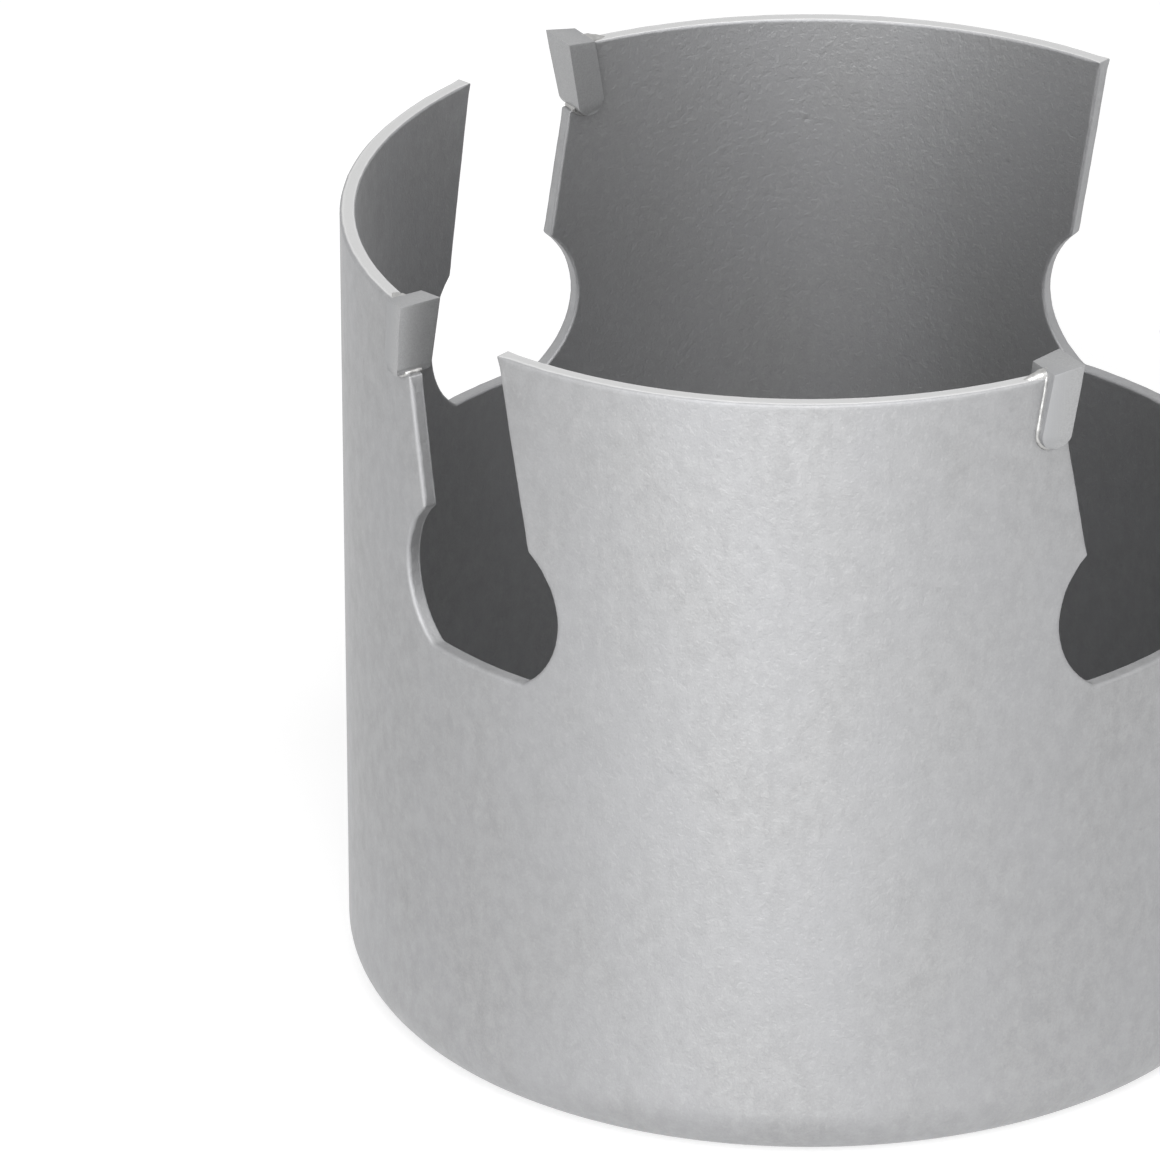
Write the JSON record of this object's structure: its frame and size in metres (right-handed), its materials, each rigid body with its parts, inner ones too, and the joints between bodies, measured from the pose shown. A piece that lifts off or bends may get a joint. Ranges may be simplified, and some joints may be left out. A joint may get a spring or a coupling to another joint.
{
  "type": "hole saw",
  "caption": "Carbide-tipped hole saw cup: a deep steel cup with leaning key-shaped slots, brazed tips at the rim and a threaded base for an arbor.",
  "frame": {"origin": "centre of the base's outer face", "axes": "+Z along the axis from the base towards the teeth; one slot is centred on each of +X, +Y, -X and -Y"},
  "size_m": [0.0668, 0.0668, 0.0598],
  "materials": {
    "blasted_steel": "fine bead-blasted, satin",
    "turned_steel": "turned, lightly oiled",
    "carbide": "ground tungsten carbide, dull"
  },
  "bodies": {
    "root": {"cup": "blasted_steel", "threaded_hub": "turned_steel", "carbide_tip_1": "carbide", "carbide_tip_2": "carbide", "carbide_tip_3": "carbide", "carbide_tip_4": "carbide"}
  },
  "joints": []
}
